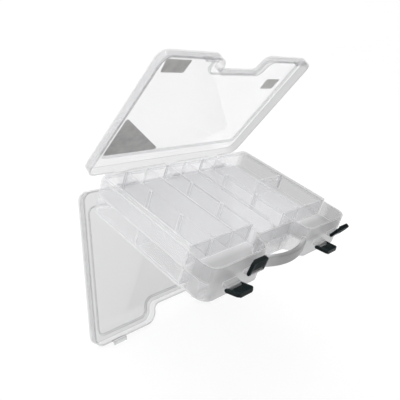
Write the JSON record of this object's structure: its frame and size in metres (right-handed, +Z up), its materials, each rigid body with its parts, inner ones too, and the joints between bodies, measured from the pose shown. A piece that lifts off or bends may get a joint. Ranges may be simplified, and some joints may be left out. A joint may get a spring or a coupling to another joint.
{
  "type": "double-sided tackle box",
  "caption": "Flat double-sided tackle box: frosted tray with a middle floor, a clear lid on each side, snap latches, bowed carrying handle and lift-out dividers.",
  "frame": {"origin": "middle of the open box's footprint, at its lowest point: the free edge of the hanging lower lid", "axes": "+X to the right as seen from the handle side, +Y from the handle towards the hinge, +Z up and square to the tray's middle floor"},
  "size_m": [0.3348, 0.2954, 0.4631],
  "materials": {
    "tray_plastic": "frosted natural plastic with a faint moulding grain",
    "lid_plastic": "clear, slightly milky, smooth",
    "divider_plastic": "clear, slightly milky",
    "latch_plastic": "black with a low sheen",
    "pin_steel": "plain drawn wire",
    "label_film": "blank grey film, seen from its back"
  },
  "bodies": {
    "tray": {"tray": "tray_plastic", "upper_hinge_pins": "pin_steel", "lower_hinge_pins": "pin_steel"},
    "upper_lid": {"upper_lid": "lid_plastic", "label_corner": "label_film", "label_left": "label_film", "label_right": "label_film"},
    "lower_lid": {"lower_lid": "lid_plastic"},
    "latch_upper_left": {"latch_upper_left": "latch_plastic"},
    "latch_upper_right": {"latch_upper_right": "latch_plastic"},
    "latch_lower_left": {"latch_lower_left": "latch_plastic"},
    "latch_lower_right": {"latch_lower_right": "latch_plastic"},
    "divider_a1": {"divider_a1": "divider_plastic"},
    "divider_a2": {"divider_a2": "divider_plastic"},
    "divider_a3": {"divider_a3": "divider_plastic"},
    "divider_b1": {"divider_b1": "divider_plastic"},
    "divider_b2": {"divider_b2": "divider_plastic"},
    "divider_b3": {"divider_b3": "divider_plastic"},
    "divider_c1": {"divider_c1": "divider_plastic"},
    "divider_c2": {"divider_c2": "divider_plastic"},
    "divider_c3": {"divider_c3": "divider_plastic"}
  },
  "joints": [
    {"name": "upper_lid_hinge", "type": "hinge", "parent": "tray", "child": "upper_lid", "pos_m": [0, 0.11495, 0.23364], "axis": [1, 0, 0], "range_deg": [-29.3, 65.7]},
    {"name": "lower_lid_hinge", "type": "hinge", "parent": "tray", "child": "lower_lid", "pos_m": [0, 0.11495, 0.22744], "axis": [-1, 0, 0], "range_deg": [-31, 64]},
    {"name": "latch_upper_left_pivot", "type": "hinge", "parent": "tray", "child": "latch_upper_left", "pos_m": [-0.0872, -0.12775, 0.23614], "axis": [-1, 0, 0], "range_deg": [-106, 6]},
    {"name": "latch_upper_right_pivot", "type": "hinge", "parent": "tray", "child": "latch_upper_right", "pos_m": [0.1254, -0.12775, 0.23614], "axis": [-1, 0, 0], "range_deg": [-85, 27]},
    {"name": "latch_lower_left_pivot", "type": "hinge", "parent": "tray", "child": "latch_lower_left", "pos_m": [-0.1254, -0.12775, 0.22494], "axis": [1, 0, 0], "range_deg": [-3, 109]},
    {"name": "latch_lower_right_pivot", "type": "hinge", "parent": "tray", "child": "latch_lower_right", "pos_m": [0.0872, -0.12775, 0.22494], "axis": [1, 0, 0], "range_deg": [-13.5, 98.5]},
    {"name": "divider_a1_lift", "type": "slide", "parent": "tray", "child": "divider_a1", "axis": [0, 0, -1], "range_m": [-0.03, 0]},
    {"name": "divider_a2_lift", "type": "slide", "parent": "tray", "child": "divider_a2", "axis": [0, 0, -1], "range_m": [-0.03, 0]},
    {"name": "divider_a3_lift", "type": "slide", "parent": "tray", "child": "divider_a3", "axis": [0, 0, -1], "range_m": [-0.03, 0]},
    {"name": "divider_b1_lift", "type": "slide", "parent": "tray", "child": "divider_b1", "axis": [0, 0, -1], "range_m": [-0.03, 0]},
    {"name": "divider_b2_lift", "type": "slide", "parent": "tray", "child": "divider_b2", "axis": [0, 0, -1], "range_m": [-0.03, 0]},
    {"name": "divider_b3_lift", "type": "slide", "parent": "tray", "child": "divider_b3", "axis": [0, 0, -1], "range_m": [-0.03, 0]},
    {"name": "divider_c1_lift", "type": "slide", "parent": "tray", "child": "divider_c1", "axis": [0, 0, -1], "range_m": [-0.03, 0]},
    {"name": "divider_c2_lift", "type": "slide", "parent": "tray", "child": "divider_c2", "axis": [0, 0, -1], "range_m": [-0.03, 0]},
    {"name": "divider_c3_lift", "type": "slide", "parent": "tray", "child": "divider_c3", "axis": [0, 0, -1], "range_m": [-0.03, 0]}
  ]
}
